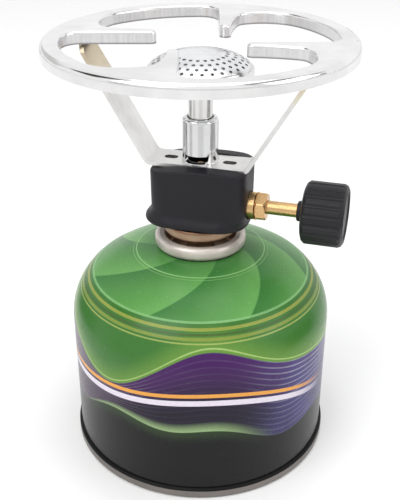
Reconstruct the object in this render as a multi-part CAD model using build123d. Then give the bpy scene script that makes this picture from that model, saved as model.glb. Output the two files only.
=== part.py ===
from build123d import *
import math
import os

# Canister-top gas stove: a single burner screwed on a resealable gas cartridge.
# Origin: centre of the cartridge's foot on the table. +Z up, +X along the valve
# spindle towards the knob. Millimetres.

# ---- cartridge -----------------------------------------------------------
CAN_R = 53.5            # outside of the steel wall
CAN_T = 0.5             # sheet
CAN_WALL_TOP = 58.0     # where the shoulder starts
CAN_SHOULDER_R = 25.2   # radius of the shoulder arc
CAN_CREASE_R = 44.5     # radius of the crease between shoulder and dome
CAN_CREASE_Z = 77.3
CAN_MOUTH_R = 17.4      # edge of the dome under the cup's curl
CAN_MOUTH_Z = 88.5
SEAM_R = 54.6           # bottom double seam
SEAM_H = 4.8
BASE_RISE = 10.5        # how far the base is domed inwards

CURL_R = 18.4           # mounting cup's rolled rim
CURL_TOP = 94.2
CURL_W = 4.4            # width of the roll
CURL_BOT = 88.85
BOSS_R = 5.55           # 7/16-28 UNEF boss, major radius
BOSS_TOP = 101.5
LIP_T = 0.9

# ---- adaptor and valve block -----------------------------------------------
ADAPTOR_R = 14.7
ADAPTOR_Z0 = 94.9
ADAPTOR_Z1 = 99.6
ADAPTOR_BORE_R = 5.63
ADAPTOR_NECK_R = 7.5
ADAPTOR_TOP = 104.2
BLOCK_R = 9.9
BLOCK_TOP = 120.85
VALVE_Z = 107.5         # height of the spindle
ROOF_Z0 = 120.9         # plastic cover's roof under the bracket
ROOF_Z1 = 122.9
ROOF_CROWN = 124.9      # its crowned sides, on both sides of the bracket
CROWN_R = 110.0
STRIP_T = 1.5           # bracket sheet
STRIP_W = 14.5
STRIP_TOP = ROOF_Z1 + STRIP_T
SPIGOT_R = 5.5          # foot of the burner sleeve, through roof and bracket

BODY_L, BODY_W = 38.5, 25.6   # plastic cover in plan
BODY_Z0 = 100.0
BODY_DX = 0.8           # the upper part sits this far towards the knob
SKIRT_DX = -0.75
CHANNEL_W = 14.9        # recess in the roof that takes the bracket

# ---- spindle and knob --------------------------------------------------------
SPINDLE_R = 2.7
NUT_R = 5.4
KNOB_R = 12.3
KNOB_X0, KNOB_X1 = 41.6, 58.0
FLUTES = 20

# ---- burner -------------------------------------------------------------------
SLEEVE_R = 7.0
SLEEVE_BORE_R = 4.7
SLEEVE_TOP = 142.0
TUBE_R = 4.6
TUBE_BORE_R = 3.85
HEAD_R = 20.0
HEAD_Z = 160.4          # lower edge of the perforated cap's dome
HEAD_RISE = 6.3
HOLE_R = 0.7
# cap's rings of holes: (radius, number, turn in degrees)
HOLE_RINGS = ((10.0, 24, -5.3), (12.9, 28, 1.8), (15.4, 30, 7.2), (17.3, 30, 1.8))
HOLE_TURN = -74.0

# ---- pan support ---------------------------------------------------------------
RING_R = 58.0
RING_TOP = 172.2
RING_T = 1.2
RIM_DEPTH = 5.0         # outer flange
FLANGE_DEPTH = 4.8      # flange round the windows
SWIRL = 16.0            # degrees: first tongue's straight edge from the knob axis
RIM_IN = 51.0           # inner radius of the rim
ARM_ANGLE = 59.3        # bracket arm above the horizontal

os.makedirs("parts", exist_ok=True)


def save(shape, node):
    export_step(shape, f"parts/{node}.step")


def lathe(points, axis=Axis.Z):
    """Solid of revolution of a closed (r, z) polygon."""
    return revolve(make_face(Plane.XZ * Polyline(*points, close=True)), axis)


def lathe_x(points):
    """Solid of revolution about the spindle axis of a closed (x, r) polygon."""
    face = make_face(Plane.XZ * Polyline(*points, close=True))
    return Pos(0, 0, VALVE_Z) * revolve(face, Axis.X)


def rod(r, z0, z1, x=0.0, y=0.0):
    return Pos(x, y, (z0 + z1) / 2) * Cylinder(r, z1 - z0)


def rod_x(r, x0, x1, z=VALVE_Z):
    return Pos((x0 + x1) / 2, 0, z) * Rot(0, 90, 0) * Cylinder(r, x1 - x0)


def on_xz(p):
    return (p[0], 0, p[1])


def xz_face(items):
    """Closed face in the XZ plane from a list of ("l", a, b) or ("a", a, mid, b)."""
    edges = []
    for it in items:
        if it[0] == "l":
            edges.append(Edge.make_line(on_xz(it[1]), on_xz(it[2])))
        else:
            edges.append(Edge.make_three_point_arc(on_xz(it[1]), on_xz(it[2]), on_xz(it[3])))
    return Face(Wire(edges))


# =============================== cartridge ===============================
def shell_outline(off):
    """Shell surface at a distance off inside the outer face: (r, z) arc points."""
    cr, cz = CAN_R - CAN_SHOULDER_R, CAN_WALL_TOP
    a1 = math.atan2(CAN_CREASE_Z - cz, CAN_CREASE_R - cr)
    rs = CAN_SHOULDER_R - off
    p_top = (cr + rs * math.cos(a1), cz + rs * math.sin(a1))
    p_mid = (cr + rs * math.cos(a1 / 2), cz + rs * math.sin(a1 / 2))
    p_wall = (CAN_R - off, cz)
    d_mid = (31.0, 84.6 - off)
    d_end = (CAN_MOUTH_R, CAN_MOUTH_Z - off)
    return p_wall, p_mid, p_top, d_mid, d_end


w0, m0, t0, dm0, de0 = shell_outline(0.0)
w1, m1, t1, dm1, de1 = shell_outline(CAN_T)
z_foot = SEAM_H + 0.02
shell_face = xz_face([
    ("l", (CAN_R, z_foot), w0),
    ("a", w0, m0, t0),
    ("a", t0, dm0, de0),
    ("l", de0, (de1[0], de1[1])),
    ("a", de1, dm1, t1),
    ("a", t1, m1, w1),
    ("l", w1, (CAN_R - CAN_T, z_foot)),
    ("l", (CAN_R - CAN_T, z_foot), (CAN_R, z_foot)),
])
cartridge_shell = revolve(shell_face, Axis.Z)
save(cartridge_shell, "cartridge_shell")

# Base: inward dome with the double seam rolled round its edge.
rb = 51.0               # inside of the seam
DOME_FOOT = 3.0         # where the dome meets the seam's inner wall
dome_r = ((BASE_RISE - DOME_FOOT) ** 2 + rb ** 2) / (2 * (BASE_RISE - DOME_FOOT))


def dome(r, off=0.0):
    """Point at radius r on the base's dome, off mm above its lower face."""
    return (r, BASE_RISE - dome_r + math.sqrt((dome_r + off) ** 2 - r ** 2))


base_face = xz_face([
    ("a", dome(0), dome(28.0), dome(rb)),
    ("l", dome(rb), (rb, 1.1)),
    ("a", (rb, 1.1), (rb + 0.32, 0.32), (rb + 1.1, 0.0)),
    ("l", (rb + 1.1, 0.0), (SEAM_R - 1.2, 0.0)),
    ("a", (SEAM_R - 1.2, 0.0), (SEAM_R - 0.35, 0.35), (SEAM_R, 1.2)),
    ("l", (SEAM_R, 1.2), (SEAM_R, SEAM_H - 1.0)),
    ("a", (SEAM_R, SEAM_H - 1.0), (SEAM_R - 0.3, SEAM_H - 0.3), (SEAM_R - 1.0, SEAM_H)),
    ("l", (SEAM_R - 1.0, SEAM_H), (rb + 0.6, SEAM_H)),
    ("l", (rb + 0.6, SEAM_H), dome(rb - 0.4, 0.6)),
    ("a", dome(rb - 0.4, 0.6), dome(28.0, 0.6), dome(0, 0.6)),
    ("l", dome(0, 0.6), dome(0)),
])
cartridge_base = revolve(base_face, Axis.Z)
save(cartridge_base, "cartridge_base")

# Mounting cup: rolled rim, well and threaded boss in one drawn piece.
cup_face = xz_face([
    # outside of the rolled rim, from its lower outer edge up and over
    ("l", (14.9, CURL_BOT), (CURL_R - 1.6, CURL_BOT)),
    ("a", (CURL_R - 1.6, CURL_BOT), (CURL_R - 0.47, CURL_BOT + 0.47), (CURL_R, CURL_BOT + 1.6)),
    ("l", (CURL_R, CURL_BOT + 1.6), (CURL_R, CURL_TOP - CURL_W / 2)),
    ("a", (CURL_R, CURL_TOP - CURL_W / 2), (CURL_R - 0.644, CURL_TOP - 0.644), (CURL_R - CURL_W / 2, CURL_TOP)),
    ("a", (CURL_R - CURL_W / 2, CURL_TOP), (CURL_R - CURL_W + 0.644, CURL_TOP - 0.644),
     (CURL_R - CURL_W, CURL_TOP - CURL_W / 2)),
    # inner wall of the well, floor and boss
    ("l", (CURL_R - CURL_W, CURL_TOP - CURL_W / 2), (CURL_R - CURL_W, 87.2)),
    ("a", (CURL_R - CURL_W, 87.2), (CURL_R - CURL_W - 0.35, 86.35), (CURL_R - CURL_W - 1.2, 86.0)),
    ("l", (CURL_R - CURL_W - 1.2, 86.0), (BOSS_R + 1.0, 86.0)),
    ("a", (BOSS_R + 1.0, 86.0), (BOSS_R + 0.3, 86.3), (BOSS_R, 87.0)),
    ("l", (BOSS_R, 87.0), (BOSS_R, BOSS_TOP - 0.6)),
    ("l", (BOSS_R, BOSS_TOP - 0.6), (BOSS_R - 0.6, BOSS_TOP)),
    ("l", (BOSS_R - 0.6, BOSS_TOP), (2.4, BOSS_TOP)),
    ("l", (2.4, BOSS_TOP), (2.4, BOSS_TOP - LIP_T)),
    ("l", (2.4, BOSS_TOP - LIP_T), (4.35, BOSS_TOP - LIP_T)),
    ("l", (4.35, BOSS_TOP - LIP_T), (4.35, 85.2)),
    ("l", (4.35, 85.2), (14.9, 85.2)),
    ("l", (14.9, 85.2), (14.9, CURL_BOT)),
])
valve_cup = revolve(cup_face, Axis.Z)
save(valve_cup, "valve_cup")

# Flat gasket squeezed between the cup's rim and the dome's edge.
gasket_z = CAN_MOUTH_Z - 0.45
cup_gasket = lathe([(14.95, gasket_z), (17.35, gasket_z), (17.35, CURL_BOT - 0.02), (14.95, CURL_BOT - 0.02)])
save(cup_gasket, "cup_gasket")

# Valve inside the boss: plastic housing, rubber seal, sprung plunger.
valve_housing = lathe([
    (1.0, 82.6), (2.2, 82.6), (2.2, 84.2), (4.3, 84.2), (4.3, 99.45),
    (3.0, 99.45), (3.0, 85.6), (1.0, 85.6),
])
save(valve_housing, "valve_housing")
valve_seal = lathe([(1.85, 99.5), (4.25, 99.5), (4.25, 100.55), (1.85, 100.55)])
save(valve_seal, "valve_seal")
valve_plunger = lathe([
    (0, 95.4), (1.5, 95.4), (1.5, 96.4), (2.8, 96.4), (2.8, 98.0), (2.5, 98.3),
    (1.77, 98.3), (1.77, 99.9), (1.5, 100.2), (0, 100.2),
])
save(valve_plunger, "valve_plunger")
# Coil spring under the plunger, as stacked turns joined by a thin spine.
turns = [Pos(0, 0, z) * Torus(2.25, 0.3) for z in (86.1, 88.2, 90.3, 92.4, 94.5, 95.95)]
spine = rod(0.28, 86.1, 95.95, x=2.25)
valve_spring = spine
for t in turns:
    valve_spring = valve_spring + t
save(valve_spring, "valve_spring")

# =============================== adaptor ===============================
adaptor = xz_face([
    ("l", (ADAPTOR_BORE_R + 0.5, ADAPTOR_Z0), (ADAPTOR_R - 1.5, ADAPTOR_Z0)),
    ("a", (ADAPTOR_R - 1.5, ADAPTOR_Z0), (ADAPTOR_R - 0.44, ADAPTOR_Z0 + 0.44), (ADAPTOR_R, ADAPTOR_Z0 + 1.5)),
    ("l", (ADAPTOR_R, ADAPTOR_Z0 + 1.5), (ADAPTOR_R, ADAPTOR_Z1 - 0.9)),
    ("a", (ADAPTOR_R, ADAPTOR_Z1 - 0.9), (ADAPTOR_R - 0.26, ADAPTOR_Z1 - 0.26), (ADAPTOR_R - 0.9, ADAPTOR_Z1)),
    ("l", (ADAPTOR_R - 0.9, ADAPTOR_Z1), (ADAPTOR_NECK_R, ADAPTOR_Z1)),
    ("l", (ADAPTOR_NECK_R, ADAPTOR_Z1), (ADAPTOR_NECK_R, ADAPTOR_TOP)),
    ("l", (ADAPTOR_NECK_R, ADAPTOR_TOP), (1.15, ADAPTOR_TOP)),
    ("l", (1.15, ADAPTOR_TOP), (1.15, 102.75)),
    ("l", (1.15, 102.75), (ADAPTOR_BORE_R, 102.75)),
    ("l", (ADAPTOR_BORE_R, 102.75), (ADAPTOR_BORE_R, ADAPTOR_Z0 + 0.5)),
    ("l", (ADAPTOR_BORE_R, ADAPTOR_Z0 + 0.5), (ADAPTOR_BORE_R + 0.5, ADAPTOR_Z0)),
])
adaptor = revolve(adaptor, Axis.Z)
# Gas ports beside the pusher pin.
for k in range(3):
    adaptor = adaptor - Rot(0, 0, 60 + 120 * k) * rod(0.5, 102.0, 105.0, x=1.9)
save(adaptor, "adaptor")

adaptor_gasket = lathe([(2.5, 101.55), (5.4, 101.55), (5.4, 102.7), (2.5, 102.7)])
save(adaptor_gasket, "adaptor_gasket")

pusher_pin = lathe([(0, 100.25), (0.8, 100.25), (1.1, 100.6), (1.1, 104.25), (1.7, 104.25), (1.7, 104.7), (0, 104.7)])
save(pusher_pin, "pusher_pin")

# =============================== valve block ===============================
block = rod(BLOCK_R, ADAPTOR_Z1 + 0.1, BLOCK_TOP)
block = block + rod_x(6.4, 0, 16.9)
block = block + Pos(0, 0, 111) * Box(24.0, 12.0, 8.0)
block = block - rod(ADAPTOR_NECK_R + 0.05, ADAPTOR_Z1, ADAPTOR_TOP + 0.05)
block = block - rod(2.6, ADAPTOR_TOP - 0.1, 104.85)
block = block - rod(0.8, ADAPTOR_TOP - 0.1, VALVE_Z, x=4.6)
block = block - Pos(2.3, 0, 104.5) * Box(4.6, 1.6, 0.7)
block = block - rod_x(2.58, 3.3, 9.5)
block = block - rod_x(5.0, 9.45, 17.0)
block = block - rod_x(0.8, 0.0, 3.4)
block = block - rod(0.8, VALVE_Z, 113.0)
block = block - rod(2.55, 112.6, 116.6)
block = block - rod(5.55, 116.5, BLOCK_TOP + 0.1)
save(block, "valve_block")

jet = xz_face([
    ("l", (0.75, 112.7), (2.5, 112.7)),
    ("l", (2.5, 112.7), (2.5, 116.6)),
    ("l", (2.5, 116.6), (3.5, 116.6)),
    ("l", (3.5, 116.6), (3.5, 120.4)),
    ("l", (3.5, 120.4), (2.3, 121.2)),
    ("l", (2.3, 121.2), (2.3, 122.0)),
    ("l", (2.3, 122.0), (1.2, 123.2)),
    ("l", (1.2, 123.2), (0.2, 123.2)),
    ("l", (0.2, 123.2), (0.2, 122.2)),
    ("l", (0.2, 122.2), (0.75, 121.4)),
    ("l", (0.75, 121.4), (0.75, 115.7)),
    ("l", (0.75, 115.7), (1.35, 115.7)),
    ("l", (1.35, 115.7), (1.35, 113.0)),
    ("l", (1.35, 113.0), (0.75, 112.7)),
])
jet = revolve(jet, Axis.Z)
hex_cut = extrude(Pos(0, 0, 116.6) * RegularPolygon(3.5, 6), 3.8)
jet = jet - (rod(3.6, 116.65, 120.35) - Pos(0, 0, 0.0) * hex_cut)
save(jet, "jet")
jet_filter = rod(1.3, 113.1, 115.6)
save(jet_filter, "jet_filter")

# =============================== plastic cover ===============================
def plan(l, w, r, z, dx=0.0, dy=0.0):
    return Pos(dx, dy, z) * RectangleRounded(l, w, r)


foot = loft([plan(41.9, 28.4, 12.2, BODY_Z0, SKIRT_DX), plan(42.2, 28.8, 12.4, BODY_Z0 + 0.5, SKIRT_DX)])
skirt = loft([plan(42.2, 28.8, 12.4, BODY_Z0 + 0.5, SKIRT_DX), plan(42.0, 28.6, 12.2, BODY_Z0 + 1.2, SKIRT_DX),
              plan(39.6, 26.6, 9.0, BODY_Z0 + 3.4, 0.2), plan(BODY_L, 25.7, 7.6, BODY_Z0 + 5.4, BODY_DX, 0.2)])
upper = loft([plan(BODY_L, 25.7, 7.6, BODY_Z0 + 5.4, BODY_DX, 0.2),
              plan(BODY_L, BODY_W, 6.6, ROOF_CROWN + 1, BODY_DX, 0.3)])
upper = upper & (Pos(6.0, 3.0, ROOF_CROWN - CROWN_R) * Sphere(CROWN_R))
top_edges = upper.faces().sort_by(Axis.Z)[-1].edges()
upper = fillet(top_edges, 1.0)
upper = upper - Pos(0, 0, ROOF_Z1 + 5) * Box(60, CHANNEL_W, 10)
cover = foot + skirt + upper
cover = cover - extrude(plan(34.5, 21.4, 4.6, BODY_Z0 - 1), ROOF_Z0 - BODY_Z0 + 1)
cover = cover - rod(5.6, ROOF_Z0 - 1, ROOF_Z1 + 1)
cover = cover - rod_x(5.75, 15.0, 22.0)
cover = cover - rod(ADAPTOR_R - 3.4, BODY_Z0 - 1, BODY_Z0 + 3)
save(cover, "body_cover")

# =============================== gland, spindle, knob ===============================
nut = lathe_x([
    (9.7, 3.3), (9.7, 4.9), (17.2, 4.9), (17.2, NUT_R), (22.6, NUT_R), (23.2, NUT_R - 0.5),
    (23.2, 5.75), (27.2, 5.75), (27.2, 2.78), (20.0, 2.78), (20.0, 3.3),
])
hexa = Pos(23.25, 0, VALVE_Z) * Rot(0, 90, 0) * extrude(RegularPolygon(5.1, 6, major_radius=False), 4.0)
cone = lathe_x([(23.15, 0), (23.15, 5.2), (23.7, 5.75), (26.4, 5.75), (27.2, 5.0), (27.3, 0)])
nut = nut - (rod_x(7.0, 23.25, 27.3) - (hexa & cone))
save(nut, "gland_nut")

spindle = lathe_x([
    (3.35, 0), (3.35, 0.25), (5.4, 1.35), (5.4, 1.9), (6.4, 1.9), (6.4, 2.5), (9.6, 2.5), (9.9, SPINDLE_R),
    (13.0, SPINDLE_R), (13.0, 2.0), (14.6, 2.0), (14.6, SPINDLE_R), (16.9, SPINDLE_R),
    (16.9, 3.22), (18.7, 3.22), (18.7, SPINDLE_R), (52.0, SPINDLE_R), (52.5, 2.2), (52.5, 0),
])
# flat that keys the knob
spindle = spindle - Pos(47.0, 0, VALVE_Z + 2.1 + 1.0) * Box(11.5, 8, 2.0)
save(spindle, "spindle")

spindle_o_ring = Pos(13.8, 0, VALVE_Z) * Rot(0, 90, 0) * Torus(2.64, 0.58)
save(spindle_o_ring, "spindle_o_ring")

knob = lathe_x([
    (39.2, 0), (39.2, 3.7), (39.5, 4.0), (KNOB_X0, 4.0), (KNOB_X0, KNOB_R - 2.2), (KNOB_X0 + 0.5, KNOB_R - 0.9),
    (KNOB_X0 + 1.6, KNOB_R), (KNOB_X1 - 1.9, KNOB_R), (KNOB_X1 - 0.7, KNOB_R - 0.5), (KNOB_X1, KNOB_R - 1.7),
    (KNOB_X1, KNOB_R - 2.6), (KNOB_X1 - 0.6, KNOB_R - 3.0), (KNOB_X1 - 0.6, 0),
])
for k in range(FLUTES):
    a = 360.0 / FLUTES * k
    flute = Pos(0, 0, VALVE_Z) * Rot(a, 0, 0) * (Pos((KNOB_X0 + KNOB_X1) / 2, 0, KNOB_R + 0.6) * Rot(0, 90, 0) * Cylinder(1.05, 30))
    knob = knob - flute
bore = rod_x(SPINDLE_R + 0.04, 38.0, 52.9) - Pos(47.3, 0, VALVE_Z + 2.14 + 1.0) * Box(12.0, 8, 2.0)
knob = knob - bore
save(knob, "knob")

# =============================== burner ===============================
sleeve = xz_face([
    ("l", (SLEEVE_BORE_R, 117.0), (SPIGOT_R, 117.0)),
    ("l", (SPIGOT_R, 117.0), (SPIGOT_R, STRIP_TOP)),
    ("l", (SPIGOT_R, STRIP_TOP), (7.25, STRIP_TOP)),
    ("l", (7.25, STRIP_TOP), (7.25, STRIP_TOP + 0.35)),
    ("l", (7.25, STRIP_TOP + 0.35), (SLEEVE_R, STRIP_TOP + 0.7)),
    ("l", (SLEEVE_R, STRIP_TOP + 0.7), (SLEEVE_R, SLEEVE_TOP - 1.2)),
    ("a", (SLEEVE_R, SLEEVE_TOP - 1.2), (SLEEVE_R - 0.35, SLEEVE_TOP - 0.35), (SLEEVE_R - 1.2, SLEEVE_TOP)),
    ("l", (SLEEVE_R - 1.2, SLEEVE_TOP), (SLEEVE_BORE_R, SLEEVE_TOP)),
    ("l", (SLEEVE_BORE_R, SLEEVE_TOP), (SLEEVE_BORE_R, 117.0)),
])
sleeve = revolve(sleeve, Axis.Z)
# Air windows, front and back: flat top, rounded lower corners.
win = Pos(0, 0, 126.55) * Rot(90, 0, 0) * extrude(RectangleRounded(9.2, 3.0, 1.45), 20, both=True)
win = win + Pos(0, 0, 127.3) * Box(9.2, 40, 1.5)
sleeve = sleeve - win
save(sleeve, "burner_sleeve")

tube = xz_face([
    ("l", (TUBE_BORE_R, 131.0), (TUBE_R, 131.0)),
    ("l", (TUBE_R, 131.0), (TUBE_R, 156.4)),
    ("l", (TUBE_R, 156.4), (TUBE_BORE_R, 156.4)),
    ("l", (TUBE_BORE_R, 156.4), (TUBE_BORE_R, 131.0)),
])
tube = revolve(tube, Axis.Z)
save(tube, "mixing_tube")

# Pressed bowl that carries the cap.
bowl = xz_face([
    ("l", (TUBE_R + 0.05, 151.0), (5.35, 151.0)),
    ("l", (5.35, 151.0), (5.35, 153.8)),
    ("a", (5.35, 153.8), (5.8, 154.95), (6.7, 155.4)),
    ("a", (6.7, 155.4), (13.0, 156.4), (17.6, 158.0)),
    ("a", (17.6, 158.0), (19.1, 159.0), (19.3, 160.35)),
    ("l", (19.3, 160.35), (18.6, 160.35)),
    ("a", (18.6, 160.35), (18.45, 159.5), (17.3, 158.7)),
    ("a", (17.3, 158.7), (12.8, 157.15), (6.6, 156.15)),
    ("a", (6.6, 156.15), (5.12, 155.4), (TUBE_R + 0.05, 153.8)),
    ("l", (TUBE_R + 0.05, 153.8), (TUBE_R + 0.05, 151.0)),
])
bowl = revolve(bowl, Axis.Z)
save(bowl, "burner_bowl")

# Perforated cap: shallow dome, steeper at the shoulder.
CAP_T = 0.6


def cap_outer(r):
    """Height of the cap's outer face above HEAD_Z at radius r."""
    t = r / HEAD_R
    return HEAD_RISE * (1 - t ** 2.6) ** 0.72 if t < 1 else 0.0


cap_pts = [(r, HEAD_Z + cap_outer(r)) for r in (0, 3, 6, 9, 12, 14.5, 16.5, 18.0, 19.2, 19.8)]
outer_curve = Spline(*[Vector(r, 0, z) for r, z in cap_pts], (HEAD_R, 0, HEAD_Z + 0.3),
                     tangents=[Vector(1, 0, 0), Vector(0, 0, -1)])


def shift_in(r, z):
    d = 0.05
    dz = (cap_outer(min(r + d, 19.999)) - cap_outer(max(r - d, 0))) / (2 * d if r > d else d)
    n = math.hypot(dz, 1)
    return (r + CAP_T * dz / n, z - CAP_T / n)


inner_pts = [(0, HEAD_Z + HEAD_RISE - CAP_T)] + [shift_in(r, z) for r, z in cap_pts[1:]]
inner_pts = [p for p in inner_pts if p[1] > HEAD_Z + 0.35]
inner_curve = Spline(*[Vector(r, 0, z) for r, z in inner_pts], (HEAD_R - CAP_T, 0, HEAD_Z + 0.3),
                     tangents=[Vector(1, 0, 0), Vector(0, 0, -1)])
cap_face = Face(Wire([
    outer_curve.edge(),
    Edge.make_line((HEAD_R, 0, HEAD_Z + 0.3), (HEAD_R, 0, HEAD_Z - 1.6)),
    Edge.make_line((HEAD_R, 0, HEAD_Z - 1.6), (HEAD_R - CAP_T, 0, HEAD_Z - 1.6)),
    Edge.make_line((HEAD_R - CAP_T, 0, HEAD_Z - 1.6), (HEAD_R - CAP_T, 0, HEAD_Z + 0.3)),
    inner_curve.edge(),
    Edge.make_line((0, 0, HEAD_Z + HEAD_RISE - CAP_T), (0, 0, HEAD_Z + HEAD_RISE)),
]))
cap = revolve(cap_face, Axis.Z)
# Staggered rings of round holes round a plain centre, square to the sheet.
holes = []
for r, count, shift in HOLE_RINGS:
    d = 0.05
    slope = (cap_outer(r + d) - cap_outer(r - d)) / (2 * d)
    tilt = math.degrees(math.atan(-slope))
    for k in range(count):
        az = HOLE_TURN + shift + 360.0 / count * k
        z = HEAD_Z + cap_outer(r) - CAP_T / 2
        holes.append(Rot(0, 0, az) * Pos(r, 0, z) * Rot(0, tilt, 0) * Cylinder(HOLE_R, 4.0))
cap = cap - holes
save(cap, "burner_cap")

# =============================== bracket ===============================
# Side profile: flat, bend, arm, bend back to a short welding tab.
ang = math.radians(ARM_ANGLE)
TAB_Z1 = RING_TOP - RING_T       # tab's top, against the pan support's underside
TAB_Z0 = TAB_Z1 - STRIP_T
TAB_END = 54.0
TAB_HALF = 3.5


def strip_half():
    """Centre line corners of one half of the strip, as (x, z)."""
    zc = ROOF_Z1 + STRIP_T / 2
    zt = TAB_Z1 - STRIP_T / 2
    # arm passes x=21.6 at z=127.5 on its centre line
    x_low = 21.9 - (127.5 - zc) / math.tan(ang)
    x_up = x_low + (zt - zc) / math.tan(ang)
    return [(0, zc), (x_low, zc), (x_up, zt), (TAB_END, zt)]


h = strip_half()
centre = [(-x, z) for x, z in reversed(h[1:])] + h[1:]
path = FilletPolyline(*[Vector(x, 0, z) for x, z in centre], radius=3.2)
prof = Plane(origin=(-TAB_END, 0, h[2][1]), x_dir=(0, 1, 0), z_dir=(1, 0, 0)) * Rectangle(STRIP_W, STRIP_T)
strip = sweep(prof, path=path)
# arms narrow towards the tabs
side = Plane.YZ * make_face(Polyline(
    (-STRIP_W / 2 - 1, 100), (STRIP_W / 2 + 1, 100), (STRIP_W / 2 + 1, 152), (STRIP_W / 2, 152),
    (6.7, 164.6), (TAB_HALF, 167.3), (TAB_HALF, 180), (-TAB_HALF, 180), (-TAB_HALF, 167.3),
    (-6.7, 164.6), (-STRIP_W / 2, 152), (-STRIP_W / 2 - 1, 152), close=True))
strip = strip & extrude(side, 80, both=True)
strip = strip - rod(5.6, 120, 126)
for s in (-1, 1):
    slot = Pos(s * 11.8, 0, 123.6) * extrude(RectangleRounded(5.4, 3.4, 1.65), 4, both=True)
    strip = strip - slot
    # tab's corners rounded off
    strip = strip - (Pos(s * 54.0, 0, TAB_Z1) * Box(6, 30, 6) - rod(TAB_END - 0.2, 150, 180))
save(strip, "bracket")

# =============================== pan support ===============================
def swirl(off):
    """Closed inner edge of the pan support, off mm into the sheet."""
    r_b, r_e, r_c, r_t, r_k = 18.0, 5.5, 60.0, 2.2, 7.5
    x_s = 7.3                                      # straight edge
    a_b, gamma, beta = math.radians(40.0), math.radians(115.0), math.radians(161.2)

    def on(cen, r, a):
        return (cen[0] + r * math.cos(a), cen[1] + r * math.sin(a))

    o = (0.0, 0.0)
    b = on(o, RIM_IN - r_b, a_b)
    e = on(b, r_b - r_e, gamma)
    p = on(e, r_e, beta)
    c = on(p, -r_c, beta)
    tx = x_s + r_t
    ty = c[1] + math.sqrt((r_c + r_t) ** 2 - (tx - c[0]) ** 2)
    t = (tx, ty)
    ang_ct = math.atan2(ty - c[1], tx - c[0])
    kx = x_s - r_k
    ky = math.sqrt((RIM_IN - r_k) ** 2 - kx ** 2)
    k_end = math.atan2(ky, kx)                     # direction of the corner's tangent point
    k0 = k_end - math.pi / 2                       # same point on the window before
    rim, rb_, re_, rc_, rt_, rk_ = RIM_IN + off, r_b + off, r_e + off, r_c + off, r_t - off, r_k + off

    quarter = [
        ("a", on(o, rim, k0), on(o, rim, (k0 + a_b) / 2), on(o, rim, a_b)),
        ("a", on(o, rim, a_b), on(b, rb_, (a_b + gamma) / 2), on(b, rb_, gamma)),
        ("a", on(b, rb_, gamma), on(e, re_, (gamma + beta) / 2), on(e, re_, beta)),
        ("a", on(e, re_, beta), on(c, rc_, (beta + ang_ct) / 2), on(c, rc_, ang_ct)),
    ]
    a0 = ang_ct - math.pi                          # from the tip's centre towards c
    a1 = -math.pi                                  # towards the straight edge
    quarter.append(("a", on(c, rc_, ang_ct), on(t, rt_, (a0 + a1) / 2), (x_s + off, ty)))
    quarter.append(("l", (x_s + off, ty), (x_s + off, ky)))
    quarter.append(("a", (x_s + off, ky), on((kx, ky), rk_, k_end / 2), on(o, rim, k_end)))
    edges = []
    for q in range(4):
        ra = math.radians(SWIRL + 90 * q)

        def rot(pt):
            return (pt[0] * math.cos(ra) - pt[1] * math.sin(ra), pt[0] * math.sin(ra) + pt[1] * math.cos(ra), 0)

        for it in quarter:
            pts = [rot(pp) for pp in it[1:]]
            if it[0] == "l":
                edges.append(Edge.make_line(*pts))
            else:
                edges.append(Edge.make_three_point_arc(*pts))
    return Wire(edges)


def plate(r_out, off, z0, z1):
    outer = Wire([Edge.make_circle(r_out)])
    f = Face(outer, [swirl(off)])
    return Pos(0, 0, z0) * extrude(f, z1 - z0, dir=(0, 0, 1))


ring = plate(RING_R, 0.0, RING_TOP - FLANGE_DEPTH, RING_TOP)
top_all = ring.faces().sort_by(Axis.Z)[-1].edges()
outer_e = [e for e in top_all if e.geom_type == GeomType.CIRCLE and abs(e.radius - RING_R) < 0.01]
inner_e = [e for e in top_all if e not in outer_e]
ring = fillet(outer_e, 2.2)
top_all = ring.faces().sort_by(Axis.Z)[-1].edges()
inner_e = [e for e in top_all if not (e.geom_type == GeomType.CIRCLE and abs(e.radius - (RING_R - 2.2)) < 0.01)]
ring = fillet(inner_e, 1.1)
rim = rod(RING_R, RING_TOP - RIM_DEPTH, RING_TOP - FLANGE_DEPTH) - rod(RING_R - RING_T, 160, 180)
ring = ring + rim
ring = ring - plate(RING_R - RING_T, RING_T, RING_TOP - RIM_DEPTH - 1, RING_TOP - RING_T)
save(ring, "pan_support")
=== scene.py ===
import bpy
import bmesh
import math
import numpy as np
from mathutils import Vector, Matrix

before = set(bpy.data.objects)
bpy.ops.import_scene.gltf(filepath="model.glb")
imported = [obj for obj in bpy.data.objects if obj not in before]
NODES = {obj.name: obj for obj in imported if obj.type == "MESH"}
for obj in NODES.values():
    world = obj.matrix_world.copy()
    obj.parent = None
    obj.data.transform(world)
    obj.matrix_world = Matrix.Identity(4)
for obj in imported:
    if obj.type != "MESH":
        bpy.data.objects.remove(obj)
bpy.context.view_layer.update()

# the side that faces the main view, as an angle about +Z
FACING = math.atan2(-0.29815, 0.08549)


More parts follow.
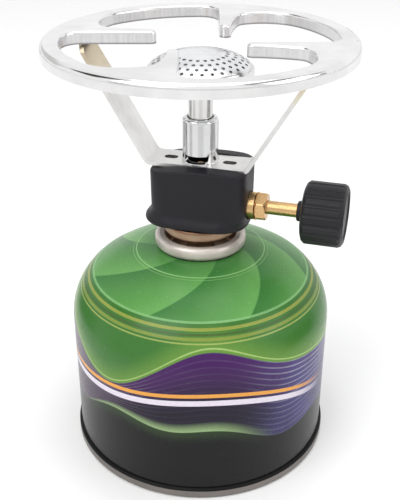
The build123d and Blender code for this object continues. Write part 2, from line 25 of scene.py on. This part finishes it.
# ------------------------------------------------------------------ node helpers
class Mat:
    """A Principled material with short ways to add the nodes that vary it."""

    def __init__(self, name, base, metallic=0.0, rough=0.4, **sockets):
        self.m = bpy.data.materials.new(name)
        self.m.use_nodes = True
        self.t = self.m.node_tree
        self.b = self.t.nodes["Principled BSDF"]
        self.b.inputs["Base Color"].default_value = (*base, 1.0)
        self.b.inputs["Metallic"].default_value = metallic
        self.b.inputs["Roughness"].default_value = rough
        for k, v in sockets.items():
            s = self.b.inputs[k.replace("_", " ")]
            s.default_value = v
        self._obj = None

    def node(self, kind, **props):
        n = self.t.nodes.new(kind)
        for k, v in props.items():
            setattr(n, k, v)
        return n

    def put(self, socket, value):
        if isinstance(value, (int, float)):
            socket.default_value = value
        elif isinstance(value, (tuple, list)):
            if len(value) == 3 and len(socket.default_value) == 4:
                value = (*value, 1.0)
            socket.default_value = value
        else:
            self.t.links.new(value, socket)

    @property
    def obj(self):
        """Object coordinates: the row frame at rest, in metres."""
        if self._obj is None:
            self._obj = self.node("ShaderNodeTexCoord").outputs["Object"]
        return self._obj

    def math(self, op, a, b=None, c=None, clamp=False):
        n = self.node("ShaderNodeMath", operation=op, use_clamp=clamp)
        self.put(n.inputs[0], a)
        if b is not None:
            self.put(n.inputs[1], b)
        if c is not None:
            self.put(n.inputs[2], c)
        return n.outputs[0]

    def add(self, a, b):
        return self.math("ADD", a, b)

    def sub(self, a, b):
        return self.math("SUBTRACT", a, b)

    def mul(self, a, b):
        return self.math("MULTIPLY", a, b)

    def scale(self, vec, s):
        n = self.node("ShaderNodeMapping")
        self.put(n.inputs["Vector"], vec)
        n.inputs["Scale"].default_value = s
        return n.outputs[0]

    def xyz(self, vec=None):
        n = self.node("ShaderNodeSeparateXYZ")
        self.put(n.inputs[0], self.obj if vec is None else vec)
        return n.outputs[0], n.outputs[1], n.outputs[2]

    def combine(self, x, y, z):
        n = self.node("ShaderNodeCombineXYZ")
        for s, v in zip(n.inputs, (x, y, z)):
            self.put(s, v)
        return n.outputs[0]

    def noise(self, vec=None, scale=100.0, detail=4.0, rough=0.5, dist=0.0):
        n = self.node("ShaderNodeTexNoise")
        self.put(n.inputs["Vector"], self.obj if vec is None else vec)
        n.inputs["Scale"].default_value = scale
        n.inputs["Detail"].default_value = detail
        n.inputs["Roughness"].default_value = rough
        n.inputs["Distortion"].default_value = dist
        return n.outputs["Fac"]

    def range(self, v, a, b, c, d, clamp=True, smooth=False):
        n = self.node("ShaderNodeMapRange", clamp=clamp)
        if smooth:
            n.interpolation_type = "SMOOTHSTEP"
        self.put(n.inputs[0], v)
        for i, x in enumerate((a, b, c, d)):
            self.put(n.inputs[i + 1], x)
        return n.outputs[0]

    def step(self, v, at, soft):
        """0 below at, 1 above, over a band of width soft."""
        return self.range(self.sub(v, at), -soft / 2, soft / 2, 0.0, 1.0, smooth=True)

    def mix(self, fac, a, b):
        n = self.node("ShaderNodeMix", data_type="RGBA")
        self.put(n.inputs[0], fac)
        self.put(n.inputs[6], a)
        self.put(n.inputs[7], b)
        return n.outputs[2]

    def ramp(self, v, stops):
        n = self.node("ShaderNodeValToRGB")
        self.put(n.inputs[0], v)
        e = n.color_ramp.elements
        while len(e) < len(stops):
            e.new(0.5)
        for el, (p, col) in zip(e, stops):
            el.position = p
            el.color = (*col, 1.0)
        return n.outputs[0]

    def color(self, sock):
        self.t.links.new(sock, self.b.inputs["Base Color"])
        return self

    def roughness(self, sock):
        self.t.links.new(sock, self.b.inputs["Roughness"])
        return self

    def bump(self, height, dist=0.0001, strength=1.0):
        n = self.node("ShaderNodeBump")
        n.inputs["Distance"].default_value = dist
        n.inputs["Strength"].default_value = strength
        prev = self.b.inputs["Normal"].links
        if prev:
            self.t.links.new(prev[0].from_socket, n.inputs["Normal"])
        self.t.links.new(height, n.inputs["Height"])
        self.t.links.new(n.outputs[0], self.b.inputs["Normal"])
        return self


def srgb(r, g, b):
    def f(c):
        c /= 255.0
        return c / 12.92 if c <= 0.04045 else ((c + 0.055) / 1.055) ** 2.4
    return (f(r), f(g), f(b))


def brushed(name, base, rough, vec_scale, spread=0.12, bump=0.00002, fine=1.0, metallic=1.0, stain=None, **kw):
    """Metal with stretched grain plus faint large-scale smears."""
    m = Mat(name, base, metallic=metallic, rough=rough, **kw)
    grain = m.noise(m.scale(m.obj, vec_scale), scale=1.0, detail=3.0, rough=0.6)
    smear = m.noise(scale=60.0 * fine, detail=3.0, rough=0.55)
    r = m.add(m.mul(grain, spread), m.mul(smear, spread * 0.8))
    m.roughness(m.math("ADD", r, rough - spread * 0.9, clamp=True))
    m.bump(grain, dist=bump, strength=0.6)
    dark = tuple(c * 0.86 for c in base)
    m.color(m.mix(m.range(smear, 0.35, 0.7, 0.0, 1.0), dark, base))
    return m


# ------------------------------------------------------------------ materials
M = {}

M["chrome"] = brushed("support_chrome", srgb(244, 243, 243), 0.13, (900, 900, 900), spread=0.07, bump=0.000004)
M["seam"] = brushed("seam_steel", srgb(136, 131, 127), 0.42, (400, 400, 2500), spread=0.14, bump=0.00001)
M["brass"] = brushed("brass", srgb(217, 179, 128), 0.27, (2500, 300, 300), spread=0.10, bump=0.000008)
M["spring"] = brushed("spring_steel", srgb(190, 190, 192), 0.25, (900, 900, 900))
M["filter"] = brushed("filter_bronze", srgb(160, 120, 80), 0.6, (2500, 2500, 2500), bump=0.00008)

# seam: black and non-metallic above 3.5 mm on its outer face, with a wavy lower edge
m = M["seam"]
x, y, z = m.xyz()
r = m.math("SQRT", m.add(m.mul(x, x), m.mul(y, y)))
wob = m.mul(m.sub(m.noise(m.scale(m.obj, (60, 60, 0)), scale=1.0, detail=2.0), 0.5), 0.0004)
upper_black_band = m.mul(m.range(m.add(z, wob), 0.0035, 0.0038, 0.0, 1.0), m.range(r, 0.0530, 0.0532, 0.0, 1.0))
plain = m.b.inputs["Base Color"].links[0].from_socket
m.color(m.mix(upper_black_band, plain, srgb(20, 20, 21)))
m.t.links.new(m.sub(1.0, upper_black_band), m.b.inputs["Metallic"])
m.b.inputs["Specular IOR Level"].default_value = 0.12

# chrome of the support: two faint spot-weld marks above each bracket tab
m = M["chrome"]
x, y, z = m.xyz()
marks = None
for sx in (-0.0475, -0.0515, 0.0475, 0.0515):
    dx = m.sub(x, sx)
    d = m.math("SQRT", m.add(m.mul(dx, dx), m.mul(y, y)))
    k = m.range(d, 0.0010, 0.0016, 1.0, 0.0, smooth=True)
    marks = k if marks is None else m.math("MAXIMUM", marks, k)
m.bump(marks, dist=-0.00006, strength=0.8)
# flanges round the windows: duller than the polished top, with draw marks; greyer partly as duller metal and partly as
# painted shade, with a dark band of painted shade along their lower edge
r = m.math("SQRT", m.add(m.mul(x, x), m.mul(y, y)))
inner = m.mul(m.range(z, 0.17085, 0.17120, 1.0, 0.0, smooth=True), m.range(r, 0.0540, 0.0550, 1.0, 0.0))
draw = m.noise(m.scale(m.obj, (900, 900, 60)), scale=1.0, detail=3.0, rough=0.6)
flange_dull_and_painted_shade = m.mix(m.range(draw, 0.3, 0.7, 0.0, 1.0), srgb(219, 217, 218), srgb(235, 234, 235))
# painted shade: dark band along the lower edge of the flanges
flange_dull_and_painted_shade = m.mix(m.range(z, 0.1676, 0.1682, 0.75, 0.0), flange_dull_and_painted_shade, srgb(96, 94, 96))
plain = m.b.inputs["Base Color"].links[0].from_socket
m.color(m.mix(inner, plain, flange_dull_and_painted_shade))
rough = m.b.inputs["Roughness"].links[0].from_socket
m.roughness(m.math("ADD", rough, m.mul(inner, 0.22), clamp=True))

# bracket: bright plated sheet, tinted by heat near the flame
m = Mat("bracket_steel", srgb(228, 227, 226), metallic=1.0, rough=0.3)
x, y, z = m.xyz()
grain = m.noise(m.scale(m.obj, (160, 3000, 160)), scale=1.0, detail=3.0, rough=0.6)
smear = m.noise(scale=70.0, detail=3.0, rough=0.55)
m.roughness(m.math("ADD", m.add(m.mul(grain, 0.12), m.mul(smear, 0.12)), 0.20, clamp=True))
m.bump(grain, dist=0.000008, strength=0.6)
base = m.mix(m.range(smear, 0.35, 0.7, 0.0, 1.0), srgb(214, 213, 212), srgb(236, 235, 234))
heat = m.range(m.add(z, m.mul(smear, 0.012)), 0.154, 0.170, 0.0, 1.0, smooth=True)
tint = m.ramp(heat, [(0.0, srgb(232, 230, 226)), (0.35, srgb(228, 222, 204)), (0.7, srgb(222, 211, 188)), (1.0, srgb(206, 192, 168))])
m.color(m.mix(m.math("MINIMUM", m.mul(heat, 3.0), 1.0), base, tint))
M["bracket"] = m


def bored(name, base, rough, bore, dark, vec_scale, spread):
    """Turned bright tube, darker and rougher inside its bore."""
    m = Mat(name, base, metallic=1.0, rough=rough)
    x, y, z = m.xyz()
    r = m.math("SQRT", m.add(m.mul(x, x), m.mul(y, y)))
    inside = m.range(r, bore, bore + 0.0006, 1.0, 0.0)
    grain = m.noise(m.scale(m.obj, vec_scale), scale=1.0, detail=3.0, rough=0.6)
    smear = m.noise(scale=80.0, detail=3.0, rough=0.55)
    rr = m.add(m.add(m.mul(grain, spread), m.mul(smear, spread)), rough - spread * 0.9)
    m.roughness(m.math("ADD", rr, m.mul(inside, 0.35), clamp=True))
    m.bump(grain, dist=0.000005, strength=0.6)
    outer = m.mix(m.range(smear, 0.35, 0.7, 0.0, 1.0), tuple(c * 0.9 for c in base), base)
    m.color(m.mix(inside, outer, dark))
    return m


M["sleeve"] = bored("sleeve_steel", srgb(230, 230, 231), 0.12, 0.00485, srgb(74, 68, 74), (300, 300, 4000), 0.06)
M["tube"] = bored("tube_steel", srgb(234, 233, 232), 0.15, 0.00400, srgb(74, 68, 74), (300, 300, 4000), 0.08)

# burner head: bright sheet, a breath of straw tint towards the skirt
m = Mat("burner_steel", srgb(232, 231, 229), metallic=1.0, rough=0.24)
x, y, z = m.xyz()
r = m.math("SQRT", m.add(m.mul(x, x), m.mul(y, y)))
grain = m.noise(scale=900.0, detail=3.0, rough=0.6)
smear = m.noise(scale=90.0, detail=4.0, rough=0.6)
m.roughness(m.math("ADD", m.add(m.mul(grain, 0.08), m.mul(smear, 0.14)), 0.14, clamp=True))
m.bump(grain, dist=0.000008, strength=0.6)
straw = m.mul(m.range(m.add(r, m.mul(smear, 0.006)), 0.0165, 0.0245, 0.0, 1.0, smooth=True), 0.05)
col = m.mix(m.range(smear, 0.3, 0.7, 0.0, 1.0), srgb(222, 223, 225), srgb(242, 243, 245))
m.color(m.mix(straw, col, srgb(196, 172, 128)))
M["burner"] = m

# mounting cup: drawn tinplate; the well is painted darker and browner than the rim, as painted shade and a painted
# reflection of the tan adaptor
m = Mat("cup_steel", srgb(232, 226, 218), metallic=0.55, rough=0.42)
x, y, z = m.xyz()
r = m.math("SQRT", m.add(m.mul(x, x), m.mul(y, y)))
grain = m.noise(m.scale(m.obj, (500, 500, 2500)), scale=1.0, detail=3.0, rough=0.6)
smear = m.noise(scale=120.0, detail=4.0, rough=0.6)
m.roughness(m.math("ADD", m.add(m.mul(grain, 0.10), m.mul(smear, 0.18)), 0.20, clamp=True))
m.bump(m.add(m.mul(grain, 0.4), smear), dist=0.00002, strength=0.7)
# painted shade and painted reflection of the adaptor: tan-brown inside r 14 mm below z 93 mm
well_painted_shade = m.mul(m.range(r, 0.01405, 0.0146, 1.0, 0.0), m.range(z, 0.0915, 0.0930, 1.0, 0.0))
col = m.mix(m.range(smear, 0.3, 0.7, 0.0, 1.0), srgb(184, 175, 167), srgb(212, 204, 196))
m.color(m.mix(well_painted_shade, col, srgb(182, 152, 124)))
M["cup"] = m

# adaptor: tan anodised, with painted shade darkening it to brown in bands at its lower and upper edges
m = Mat("adaptor_aluminium", srgb(166, 142, 122), metallic=1.0, rough=0.36)
x, y, z = m.xyz()
grain = m.noise(m.scale(m.obj, (300, 300, 3500)), scale=1.0, detail=3.0, rough=0.6)
smear = m.noise(scale=110.0, detail=4.0, rough=0.6)
m.roughness(m.math("ADD", m.add(m.mul(grain, 0.10), m.mul(smear, 0.18)), 0.26, clamp=True))
m.bump(grain, dist=0.000012, strength=0.7)
# painted shade: brown bands at the lower and upper edges
painted_edge_shade = m.math("MAXIMUM", m.range(z, 0.0948, 0.0960, 1.0, 0.0, smooth=True), m.range(z, 0.0980, 0.0992, 0.0, 1.0, smooth=True))
col = m.mix(m.range(smear, 0.3, 0.7, 0.0, 1.0), srgb(158, 130, 108), srgb(190, 162, 139))
m.color(m.mix(m.mul(painted_edge_shade, 0.75), col, srgb(98, 66, 48)))
M["tan"] = m


def moulded(name, base, rough, spec):
    m = Mat(name, base, rough=rough, Specular_IOR_Level=spec)
    fine = m.noise(scale=3200.0, detail=2.0)
    soft = m.noise(scale=90.0, detail=4.0, rough=0.6)
    m.bump(fine, dist=0.00003, strength=0.55)
    m.roughness(m.add(m.mul(soft, 0.18), rough - 0.09))
    m.color(m.mix(soft, tuple(c * 0.85 for c in base), tuple(c * 1.2 for c in base)))
    return m


M["plastic"] = moulded("black_plastic", srgb(26, 24, 30), 0.46, 0.26)
M["knob"] = moulded("knob_plastic", srgb(28, 27, 31), 0.42, 0.30)

m = Mat("seal_rubber", srgb(30, 30, 30), rough=0.6)
m.roughness(m.add(m.mul(m.noise(scale=400.0), 0.2), 0.5))
m.bump(m.noise(scale=2500.0), dist=0.00003, strength=0.5)
M["rubber"] = m
m = Mat("valve_plastic", srgb(225, 222, 212), rough=0.4)
m.roughness(m.add(m.mul(m.noise(scale=300.0), 0.2), 0.3))
m.bump(m.noise(scale=2500.0), dist=0.00002, strength=0.5)
M["acetal"] = m

# ------------------------------------------------------------------ printed cartridge
m = Mat("cartridge_paint", srgb(75, 125, 70), rough=0.24, Specular_IOR_Level=0.24)
x, y, z = m.xyz()
cf, sf = math.cos(FACING), math.sin(FACING)
u = m.add(m.mul(x, cf), m.mul(y, sf))
v = m.add(m.mul(x, -sf), m.mul(y, cf))
phi = m.math("ARCTAN2", v, u)
r = m.math("SQRT", m.add(m.mul(x, x), m.mul(y, y)))


def wave(n, phase, amp):
    return m.mul(m.math("SINE", m.add(m.mul(phi, float(n)), phase)), amp)


def level(base, *parts):
    out = base
    for n, phase, amp in parts:
        out = m.add(wave(n, phase, amp), out)
    return out


def line(value, at, half, soft=0.00012):
    """1 within half of at."""
    d = m.math("ABSOLUTE", m.sub(value, at))
    return m.range(d, half - soft / 2, half + soft / 2, 1.0, 0.0, smooth=True)


cloud = m.noise(scale=38.0, detail=4.0, rough=0.55)
press = m.noise(scale=1400.0, detail=2.0)
h1 = level(0.0590, (3, 0.9, 0.0085), (5, 2.0, 0.0030))          # foot of the green
h2 = level(0.0290, (2, 2.4, 0.0058), (7, 0.3, 0.0020))          # top of the dark foot
h3 = level(0.0455, (2, 2.3, 0.0052), (3, 0.4, 0.0030))          # pair of flowing lines
depth = m.math("DIVIDE", m.sub(h1, z), m.sub(h1, h2))           # 0 at the green, 1 at the foot

# violet field: deep in the middle, plum on one side, blue-violet on the other
side = m.math("SINE", phi)
field = m.mix(m.range(depth, 0.0, 0.75, 0.0, 1.0, smooth=True), srgb(66, 26, 88), srgb(26, 20, 38))
plum = m.mul(m.range(m.mul(side, -1.0), 0.30, 0.92, 0.0, 1.0, smooth=True), m.range(cloud, 0.30, 0.62, 0.45, 1.0))
field = m.mix(plum, field, srgb(62, 42, 68))
blue = m.mul(m.range(side, 0.22, 0.90, 0.0, 1.0, smooth=True), m.range(cloud, 0.34, 0.66, 0.35, 1.0))
field = m.mix(blue, field, srgb(66, 60, 122))

# fine pale lines that follow the waves
t = m.math("FRACT", m.mul(depth, 13.0))
d = m.math("ABSOLUTE", m.sub(t, 0.5))
hair = m.range(d, 0.33, 0.43, 0.0, 1.0, smooth=True)
hair = m.mul(hair, m.range(m.math("ABSOLUTE", side), 0.25, 0.70, 0.10, 0.85, smooth=True))
hair = m.mul(hair, m.range(depth, 0.02, 0.75, 1.0, 0.25))
hair = m.mul(hair, m.range(cloud, 0.34, 0.60, 0.20, 0.70))
field = m.mix(hair, field, srgb(176, 178, 188))

# the two flowing lines, thinning out round the sides
fade = m.range(m.math("COSINE", m.add(phi, 0.25)), 0.05, 0.60, 0.0, 1.0, smooth=True)
amber = m.mul(line(m.sub(z, h3), 0.0, 0.00085), fade)
white = m.mul(line(m.sub(z, h3), -0.0034, 0.00125), fade)
field = m.mix(amber, field, srgb(226, 158, 72))
field = m.mix(white, field, srgb(222, 214, 226))

# dark foot with a soft pale-green crest on top of it
crest_w = level(0.0036, (2, 0.2, 0.0022), (3, 2.6, 0.0012))
crest = m.range(m.math("DIVIDE", m.sub(z, h2), crest_w), 0.0, 1.0, 1.0, 0.0)
crest = m.mul(crest, m.range(m.math("SINE", m.add(m.mul(phi, 2.0), 2.2)), -0.35, 0.8, 0.0, 1.0, smooth=True))
field = m.mix(m.mul(crest, 0.85), field, srgb(156, 186, 130))
below = m.range(m.sub(z, h2), -0.00015, 0.00015, 1.0, 0.0)
foot_green = m.range(m.sub(h2, z), 0.0, 0.0060, 0.55, 0.0, smooth=True)
foot = m.mix(m.mul(foot_green, m.range(m.math("SINE", m.add(m.mul(phi, 2.0), 2.2)), -0.35, 0.8, 0.0, 1.0, smooth=True)),
             srgb(12, 12, 14), srgb(50, 74, 40))
field = m.mix(below, field, foot)

# green above: lighter along its lower edge
green = m.mix(m.range(m.sub(z, h1), 0.0, 0.0110, 1.0, 0.0, smooth=True), srgb(58, 112, 46), srgb(98, 140, 58))
green = m.mix(m.mul(line(m.sub(z, h1), 0.0013, 0.00030), 0.7), green, srgb(170, 198, 120))
above = m.range(m.sub(z, h1), -0.00015, 0.00015, 0.0, 1.0)
wall = m.mix(above, field, green)

# rings on the shoulder
for at, half, c, a in ((0.0757, 0.00045, (150, 158, 70), 0.8), (0.0742, 0.00035, (66, 92, 42), 0.8),
                       (0.0729, 0.00050, (140, 152, 66), 0.7), (0.0715, 0.00025, (176, 186, 104), 0.6)):
    wall = m.mix(m.mul(line(z, at, half), a), wall, srgb(*c))

# dome: seven swirling petals, each shaded from edge to edge
turn = m.add(m.mul(phi, 7.0 / (2 * math.pi)), m.mul(r, 34.0))
saw = m.math("FRACT", m.add(turn, 20.0))
petal = m.range(saw, 0.0, 0.97, 0.0, 1.0)
petal = m.math("MULTIPLY", petal, m.range(saw, 0.975, 1.0, 1.0, 0.0))
leaf = m.mix(petal, srgb(56, 116, 54), srgb(104, 164, 86))
leaf = m.mix(m.range(r, 0.018, 0.030, 0.45, 0.0, smooth=True), leaf, srgb(52, 104, 52))
leaf = m.mix(m.mul(m.range(cloud, 0.35, 0.65, 0.0, 1.0), 0.22), leaf, srgb(70, 132, 66))
leaf = m.mix(m.mul(line(r, 0.0262, 0.00022), 0.75), leaf, srgb(150, 200, 132))
leaf = m.mix(m.mul(line(r, 0.0275, 0.00010), 0.6), leaf, srgb(150, 200, 132))
leaf = m.mix(m.mul(line(r, 0.0442, 0.00042), 0.7), leaf, srgb(134, 186, 122))
on_dome = m.range(z, 0.07715, 0.07735, 0.0, 1.0)
label = m.mix(on_dome, wall, leaf)

# slight unevenness of the ink, and the thin join of the print at the back
label = m.mix(m.range(press, 0.3, 0.7, 0.0, 0.10), label, srgb(28, 30, 30))
back = m.mul(m.range(u, -0.002, 0.0, 1.0, 0.0), m.range(m.math("ABSOLUTE", v), 0.00016, 0.00024, 1.0, 0.0))
label = m.mix(m.mul(back, m.range(z, 0.0600, 0.0740, 0.32, 0.0)), label, srgb(120, 120, 120))
label = m.mix(m.range(z, 0.0066, 0.0069, 0.92, 0.0), label, srgb(14, 14, 15))   # black edge above the seam
m.color(label)
peel = m.noise(scale=420.0, detail=2.0, rough=0.5)
scuff = m.noise(m.scale(m.obj, (260, 260, 900)), scale=1.0, detail=5.0, rough=0.65)
m.roughness(m.add(m.mul(scuff, 0.16), m.add(m.mul(peel, 0.06), 0.14)))
m.bump(peel, dist=0.00002, strength=0.5)
M["paint"] = m

USE = {
    "cartridge_shell": "paint", "cartridge_base": "seam", "valve_cup": "cup", "cup_gasket": "rubber",
    "valve_housing": "acetal", "valve_seal": "rubber", "valve_plunger": "acetal", "valve_spring": "spring",
    "adaptor": "tan", "adaptor_gasket": "rubber", "pusher_pin": "brass", "valve_block": "brass", "jet": "brass",
    "jet_filter": "filter", "body_cover": "plastic", "gland_nut": "brass", "spindle": "brass",
    "spindle_o_ring": "rubber", "knob": "knob", "burner_sleeve": "sleeve", "mixing_tube": "tube",
    "burner_bowl": "burner", "burner_cap": "burner", "bracket": "bracket", "pan_support": "chrome",
}
for node, key in USE.items():
    o = NODES[node]
    o.data.materials.clear()
    o.data.materials.append(M[key].m)

# ------------------------------------------------------------------ stage and light
def stage_plane(name, size, z, mat):
    me = bpy.data.meshes.new(name)
    s = size / 2
    me.from_pydata([(-s, -s, z), (s, -s, z), (s, s, z), (-s, s, z)], [], [(0, 1, 2, 3)])
    me.materials.append(mat)
    o = bpy.data.objects.new(name, me)
    bpy.context.scene.collection.objects.link(o)
    return o


floor_mat = Mat("floor", (0.90, 0.90, 0.90), rough=0.7)
floor_mat.roughness(floor_mat.add(floor_mat.mul(floor_mat.noise(scale=12.0), 0.1), 0.65))
stage_plane("floor", 12.0, -0.0001, floor_mat.m)

# White room with a few dim strips, as between the lights of a studio.
w = bpy.data.worlds.new("studio")
bpy.context.scene.world = w
w.use_nodes = True
wt = w.node_tree


def wn(kind, **props):
    n = wt.nodes.new(kind)
    for k, v in props.items():
        setattr(n, k, v)
    return n


def wput(s, v):
    if isinstance(v, (int, float)):
        s.default_value = v
    else:
        wt.links.new(v, s)


def wmath(op, a, b=None):
    n = wn("ShaderNodeMath", operation=op)
    wput(n.inputs[0], a)
    if b is not None:
        wput(n.inputs[1], b)
    return n.outputs[0]


def wstep(v, a, b, c, d):
    n = wn("ShaderNodeMapRange", interpolation_type="SMOOTHSTEP")
    for s_, x_ in zip(n.inputs, (v, a, b, c, d)):
        wput(s_, x_)
    return n.outputs[0]


sep = wn("ShaderNodeSeparateXYZ")
wt.links.new(wn("ShaderNodeTexCoord").outputs["Generated"], sep.inputs[0])
dx, dy, dz = sep.outputs
toward = wmath("ADD", wmath("MULTIPLY", dx, math.cos(FACING)), wmath("MULTIPLY", dy, math.sin(FACING)))
aside = wmath("ADD", wmath("MULTIPLY", dx, -math.sin(FACING)), wmath("MULTIPLY", dy, math.cos(FACING)))
azim = wmath("ARCTAN2", aside, toward)


def strip(az, half, soft, zlo, zhi, depth):
    """Dim band centred az degrees to the right of the viewing side."""
    d = wmath("ABSOLUTE", wmath("SUBTRACT", azim, math.radians(az)))
    k = wstep(d, math.radians(half), math.radians(half + soft), 1.0, 0.0)
    k = wmath("MULTIPLY", k, wstep(dz, zlo, zlo + 0.08, 0.0, 1.0))
    k = wmath("MULTIPLY", k, wstep(dz, zhi, zhi + 0.15, 1.0, 0.0))
    return wmath("SUBTRACT", 1.0, wmath("MULTIPLY", k, depth))


shade = wmath("MULTIPLY", strip(86.0, 7.0, 5.0, 0.06, 0.45, 0.85), strip(-137.0, 16.0, 8.0, 0.06, 0.40, 0.35))
shade = wmath("MULTIPLY", shade, strip(-58.0, 4.0, 5.0, 0.06, 0.40, 0.30))
shade = wmath("MULTIPLY", shade, strip(0.0, 50.0, 25.0, 0.02, 0.12, 0.40))
# dim corners high on both sides, which the bracket's arms pass on to the burner's sleeve
shade = wmath("MULTIPLY", shade, strip(74.0, 26.0, 12.0, 0.48, 0.80, 0.96))
shade = wmath("MULTIPLY", shade, strip(-102.0, 13.0, 9.0, 0.48, 0.80, 0.96))
wt.nodes["Background"].inputs[0].default_value = (1.0, 1.0, 1.0, 1.0)
wt.links.new(shade, wt.nodes["Background"].inputs[1])


def area(name, loc, target, size, power, size_y=None, color=(1, 1, 1)):
    d = bpy.data.lights.new(name, "AREA")
    d.shape = "RECTANGLE"
    d.size = size
    d.size_y = size_y or size
    d.energy = power
    d.color = color
    o = bpy.data.objects.new(name, d)
    bpy.context.scene.collection.objects.link(o)
    o.location = loc
    o.rotation_euler = (Vector(target) - Vector(loc)).to_track_quat("-Z", "Y").to_euler()
    return o


def around(az, dist, z):
    """Point at an angle to the right of the viewing side."""
    a = FACING + math.radians(az)
    return (dist * math.cos(a), dist * math.sin(a), z)


MID = (0, 0, 0.09)
area("key", around(-45, 0.9, 1.1), MID, 0.8, 6.0)
area("fill", around(70, 0.9, 0.7), MID, 0.7, 3.0)
area("top", (0, 0, 1.4), MID, 1.0, 4.0)

# Studio surround: a low drum whose dim bands edge the bright metal. It shows in
# reflections only, as flags beside the set do.
SURROUND_R = 0.26
BANDS = ((85.0, 15.0, 7.0, 0.97), (-110.0, 12.0, 10.0, 0.90), (-62.0, 5.0, 9.0, 0.34), (2.0, 10.0, 14.0, 0.20), (150.0, 10.0, 12.0, 0.28))


def surround():
    m = Mat("surround", (1, 1, 1), rough=0.8)
    t = m.t
    x, y, z = m.xyz()
    cf, sf = math.cos(FACING), math.sin(FACING)
    ang = m.math("ARCTAN2", m.add(m.mul(x, -sf), m.mul(y, cf)), m.add(m.mul(x, cf), m.mul(y, sf)))
    glow = None
    for az, half, soft, depth in BANDS:
        d = m.math("ABSOLUTE", m.sub(ang, math.radians(az)))
        k = m.range(d, math.radians(half), math.radians(half + soft), depth, 0.0, smooth=True)
        k = m.sub(1.0, k)
        glow = k if glow is None else m.mul(glow, k)
    upper = m.range(z, 0.076, 0.088, 0.0, 1.0, smooth=True)
    glow = m.add(m.mul(glow, m.sub(1.0, upper)), m.mul(upper, 1.0))
    em = m.node("ShaderNodeEmission")
    m.put(em.inputs["Strength"], glow)
    t.links.new(em.outputs[0], t.nodes["Material Output"].inputs["Surface"])
    n, top = 180, 0.125
    me = bpy.data.meshes.new("surround")
    v, f = [], []
    for i in range(n):
        a = 2 * math.pi * i / n
        v += [(SURROUND_R * math.cos(a), SURROUND_R * math.sin(a), 0.0005), (SURROUND_R * math.cos(a), SURROUND_R * math.sin(a), top)]
        j = (i + 1) % n
        f.append((2 * i, 2 * j, 2 * j + 1, 2 * i + 1))
    me.from_pydata(v, [], f)
    me.materials.append(m.m)
    o = bpy.data.objects.new("surround", me)
    bpy.context.scene.collection.objects.link(o)
    o.visible_camera = False
    o.visible_diffuse = False
    o.visible_shadow = False
    o.visible_transmission = False


surround()

# ------------------------------------------------------------------ camera
cam = bpy.data.cameras.new("camera")
cam_o = bpy.data.objects.new("camera", cam)
bpy.context.scene.collection.objects.link(cam_o)
cam_o.location = (0.08549, -0.29815, 0.24966)
cam_o.rotation_mode = "QUATERNION"
cam_o.rotation_quaternion = (Vector((0, 0, 0.07864)) - cam_o.location).to_track_quat("-Z", "Y")
cam.sensor_width = 36.0
cam.lens = 36.0 * 853.73 / 500.0
cam.shift_x = -0.45 / 500.0
cam.shift_y = 12.53 / 500.0
cam.clip_start = 0.01
cam.clip_end = 50.0
bpy.context.scene.camera = cam_o
bpy.context.scene.view_settings.view_transform = "Standard"
